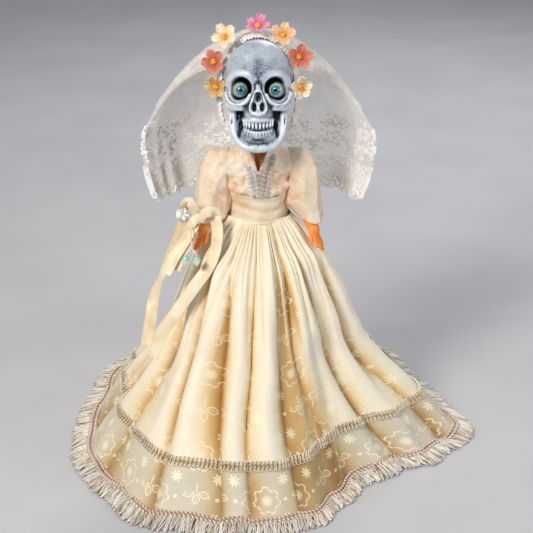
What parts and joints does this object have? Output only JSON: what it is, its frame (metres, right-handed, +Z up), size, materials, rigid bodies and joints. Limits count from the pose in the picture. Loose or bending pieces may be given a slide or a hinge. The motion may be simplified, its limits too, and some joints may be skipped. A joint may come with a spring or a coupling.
{
  "type": "skull-faced bride doll figure",
  "caption": "Standing skull-faced bride doll with a turning head, swinging arms, a gathered brocade gown with a train, a lace veil, a flower crown and wrist ribbons.",
  "frame": {"origin": "middle of the gown's outline on the surface that the figure stands on", "axes": "+Z up along the figure; the figure faces -Y; its right hand, with the ribbons, is on the -X side"},
  "size_m": [0.24, 0.2483, 0.2495],
  "materials": {
    "skull_plastic": "satin, antiqued",
    "eye_glass": "polished",
    "skin_plastic": "satin",
    "wire": "dull",
    "elastic_cord": "matt",
    "bodice_satin": "satin organza",
    "gown_brocade": "sheer brocade",
    "lining_taffeta": "matt",
    "veil_net": "embroidered net",
    "gimp_braid": "metallic thread",
    "fringe_thread": "twisted thread",
    "ribbon_satin": "satin",
    "paper_coral": "matt paper",
    "paper_peach": "matt paper",
    "paper_cream": "matt paper",
    "paper_pink": "matt paper",
    "paper_gold": "matt paper",
    "stamen_yellow": "matt",
    "bud_mint": "pearly"
  },
  "bodies": {
    "body": {"body_front_shell": "skin_plastic", "body_back_shell": "skin_plastic", "stringing_elastic": "elastic_cord", "bodice": "bodice_satin", "neckline_braid": "gimp_braid", "waistband": "bodice_satin", "back_snap_upper": "wire", "back_snap_lower": "wire", "petticoat": "lining_taffeta", "skirt": "gown_brocade", "skirt_braid": "gimp_braid", "hem_braid": "gimp_braid", "hem_fringe": "fringe_thread", "veil_lower": "veil_net"},
    "head": {"skull_face": "skull_plastic", "skull_back": "skull_plastic", "eye_right": "eye_glass", "eye_left": "eye_glass", "neck_plug": "skin_plastic", "head_hook": "wire", "headband": "veil_net", "veil_upper": "veil_net", "flower_1": "paper_gold", "flower_2": "paper_coral", "flower_3": "paper_cream", "flower_4": "paper_pink", "flower_5": "paper_peach", "flower_6": "paper_coral", "flower_7": "paper_cream", "flower_centre_1": "stamen_yellow", "flower_centre_2": "stamen_yellow", "flower_centre_3": "stamen_yellow", "flower_centre_4": "stamen_yellow", "flower_centre_5": "stamen_yellow", "flower_centre_6": "stamen_yellow", "flower_centre_7": "stamen_yellow"},
    "right_arm": {"right_arm": "skin_plastic", "right_arm_hook": "wire", "right_sleeve": "bodice_satin", "ribbon_knot": "ribbon_satin", "lace_frill": "veil_net", "ribbon_streamer_long": "ribbon_satin", "ribbon_tail_short": "ribbon_satin", "ribbon_streamer_front": "ribbon_satin", "bud_thread": "fringe_thread", "bud_right": "bud_mint", "bud_left": "bud_mint"},
    "left_arm": {"left_arm": "skin_plastic", "left_arm_hook": "wire", "left_sleeve": "bodice_satin"}
  },
  "joints": [
    {"name": "neck_turn", "type": "hinge", "parent": "body", "child": "head", "pos_m": [-0.0076, 0, 0.181], "axis": [0, 0, 1], "range_deg": [-40, 40]},
    {"name": "right_shoulder", "type": "hinge", "parent": "body", "child": "right_arm", "pos_m": [-0.0254, 0, 0.168], "axis": [-1, 0, 0], "range_deg": [0, 75]},
    {"name": "left_shoulder", "type": "hinge", "parent": "body", "child": "left_arm", "pos_m": [0.0102, 0, 0.168], "axis": [-1, 0, 0], "range_deg": [-30, 75]}
  ]
}
